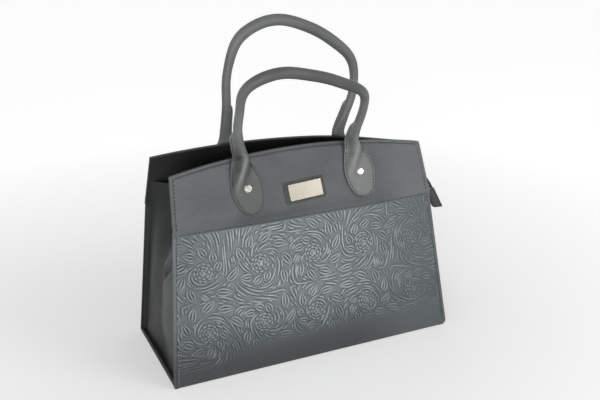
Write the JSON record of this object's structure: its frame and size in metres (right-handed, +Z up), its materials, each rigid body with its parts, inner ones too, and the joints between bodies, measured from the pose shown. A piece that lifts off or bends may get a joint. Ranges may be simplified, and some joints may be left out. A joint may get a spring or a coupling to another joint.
{
  "type": "leather handbag",
  "caption": "Structured leather handbag with tooled front panel, arched yoke, folded gussets, rolled top handles on leaf tabs, bare metal plate and open zip mouth.",
  "frame": {"origin": "centre of the base's underside, on the floor", "axes": "+X to the wearer's right as seen from the front, -Y out of the tooled front, +Z up"},
  "size_m": [0.3711, 0.1929, 0.3874],
  "materials": {
    "tooled_leather": "tooled, satin",
    "leather": "pebbled, satin",
    "lining_cloth": "matte",
    "zip_tape": "matte",
    "board": "matte",
    "hardware": "polished",
    "plate_metal": "satin"
  },
  "bodies": {
    "bag": {"front_panel": "tooled_leather", "base_board": "board", "metal_plate": "plate_metal", "front_yoke": "leather", "front_facing": "leather", "back_panel": "leather", "back_yoke": "leather", "back_facing": "leather", "left_gusset": "leather", "right_gusset": "leather", "base_panel": "leather", "front_left_tab": "leather", "front_right_tab": "leather", "back_left_tab": "leather", "back_right_tab": "leather", "plate_patch": "leather", "zip_end_tab": "leather", "front_lining": "lining_cloth", "back_lining": "lining_cloth", "left_lining": "lining_cloth", "right_lining": "lining_cloth", "base_lining": "lining_cloth", "front_zip_tape": "zip_tape", "back_zip_tape": "zip_tape", "zip_tail": "zip_tape", "front_zip_chain": "hardware", "back_zip_chain": "hardware", "zip_slider": "hardware", "handle_rivets": "hardware"},
    "front_handle": {"front_handle": "leather"},
    "back_handle": {"back_handle": "leather"},
    "zip_pull": {"zip_pull": "hardware"}
  },
  "joints": [
    {"name": "front_handle_swing", "type": "hinge", "parent": "bag", "child": "front_handle", "pos_m": [0, -0.03057, 0.2405], "axis": [1, 0, 0], "range_deg": [-38, 102]},
    {"name": "back_handle_swing", "type": "hinge", "parent": "bag", "child": "back_handle", "pos_m": [-0.00294, 0.0177, 0.24158], "axis": [0.9757, -0.219, 0], "range_deg": [-143, 3]},
    {"name": "zip_pull_swing", "type": "hinge", "parent": "bag", "child": "zip_pull", "pos_m": [0.0904, -0.0297, 0.206], "axis": [1, 0, 0], "range_deg": [-20, 0]}
  ]
}
